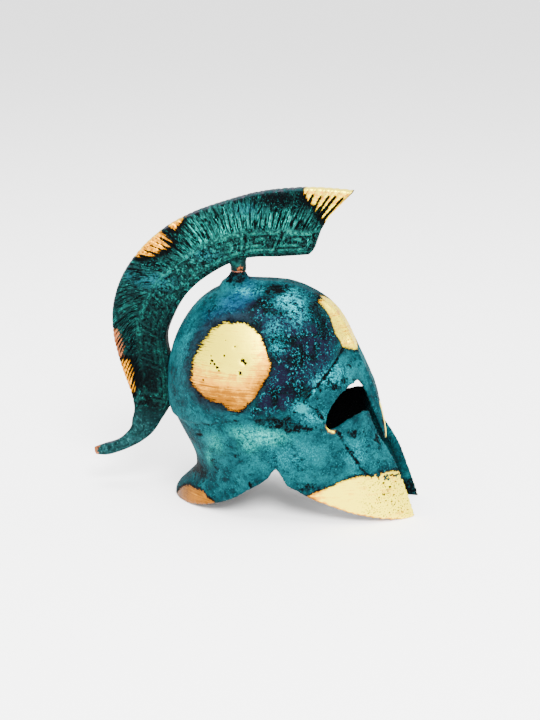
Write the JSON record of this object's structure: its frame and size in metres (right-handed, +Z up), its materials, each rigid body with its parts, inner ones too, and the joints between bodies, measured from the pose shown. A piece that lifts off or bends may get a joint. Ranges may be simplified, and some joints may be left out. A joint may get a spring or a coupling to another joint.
{
  "type": "miniature helmet",
  "caption": "Small cast replica of a Corinthian helmet with a tall grooved plume, a Greek key band and a curled tail; hollow, stands on its rim.",
  "frame": {"origin": "centre of the footprint of the whole object, on the surface it stands on", "axes": "+X forward (the face), +Y towards the wearer's left, +Z up"},
  "size_m": [0.121, 0.0572, 0.1159],
  "materials": {
    "shell_patina": "blue-green patina with bare polished patches",
    "crest_patina": "green and black patina with bare polished patches"
  },
  "bodies": {
    "root": {"helmet_shell": "shell_patina", "crest": "crest_patina"}
  },
  "joints": []
}
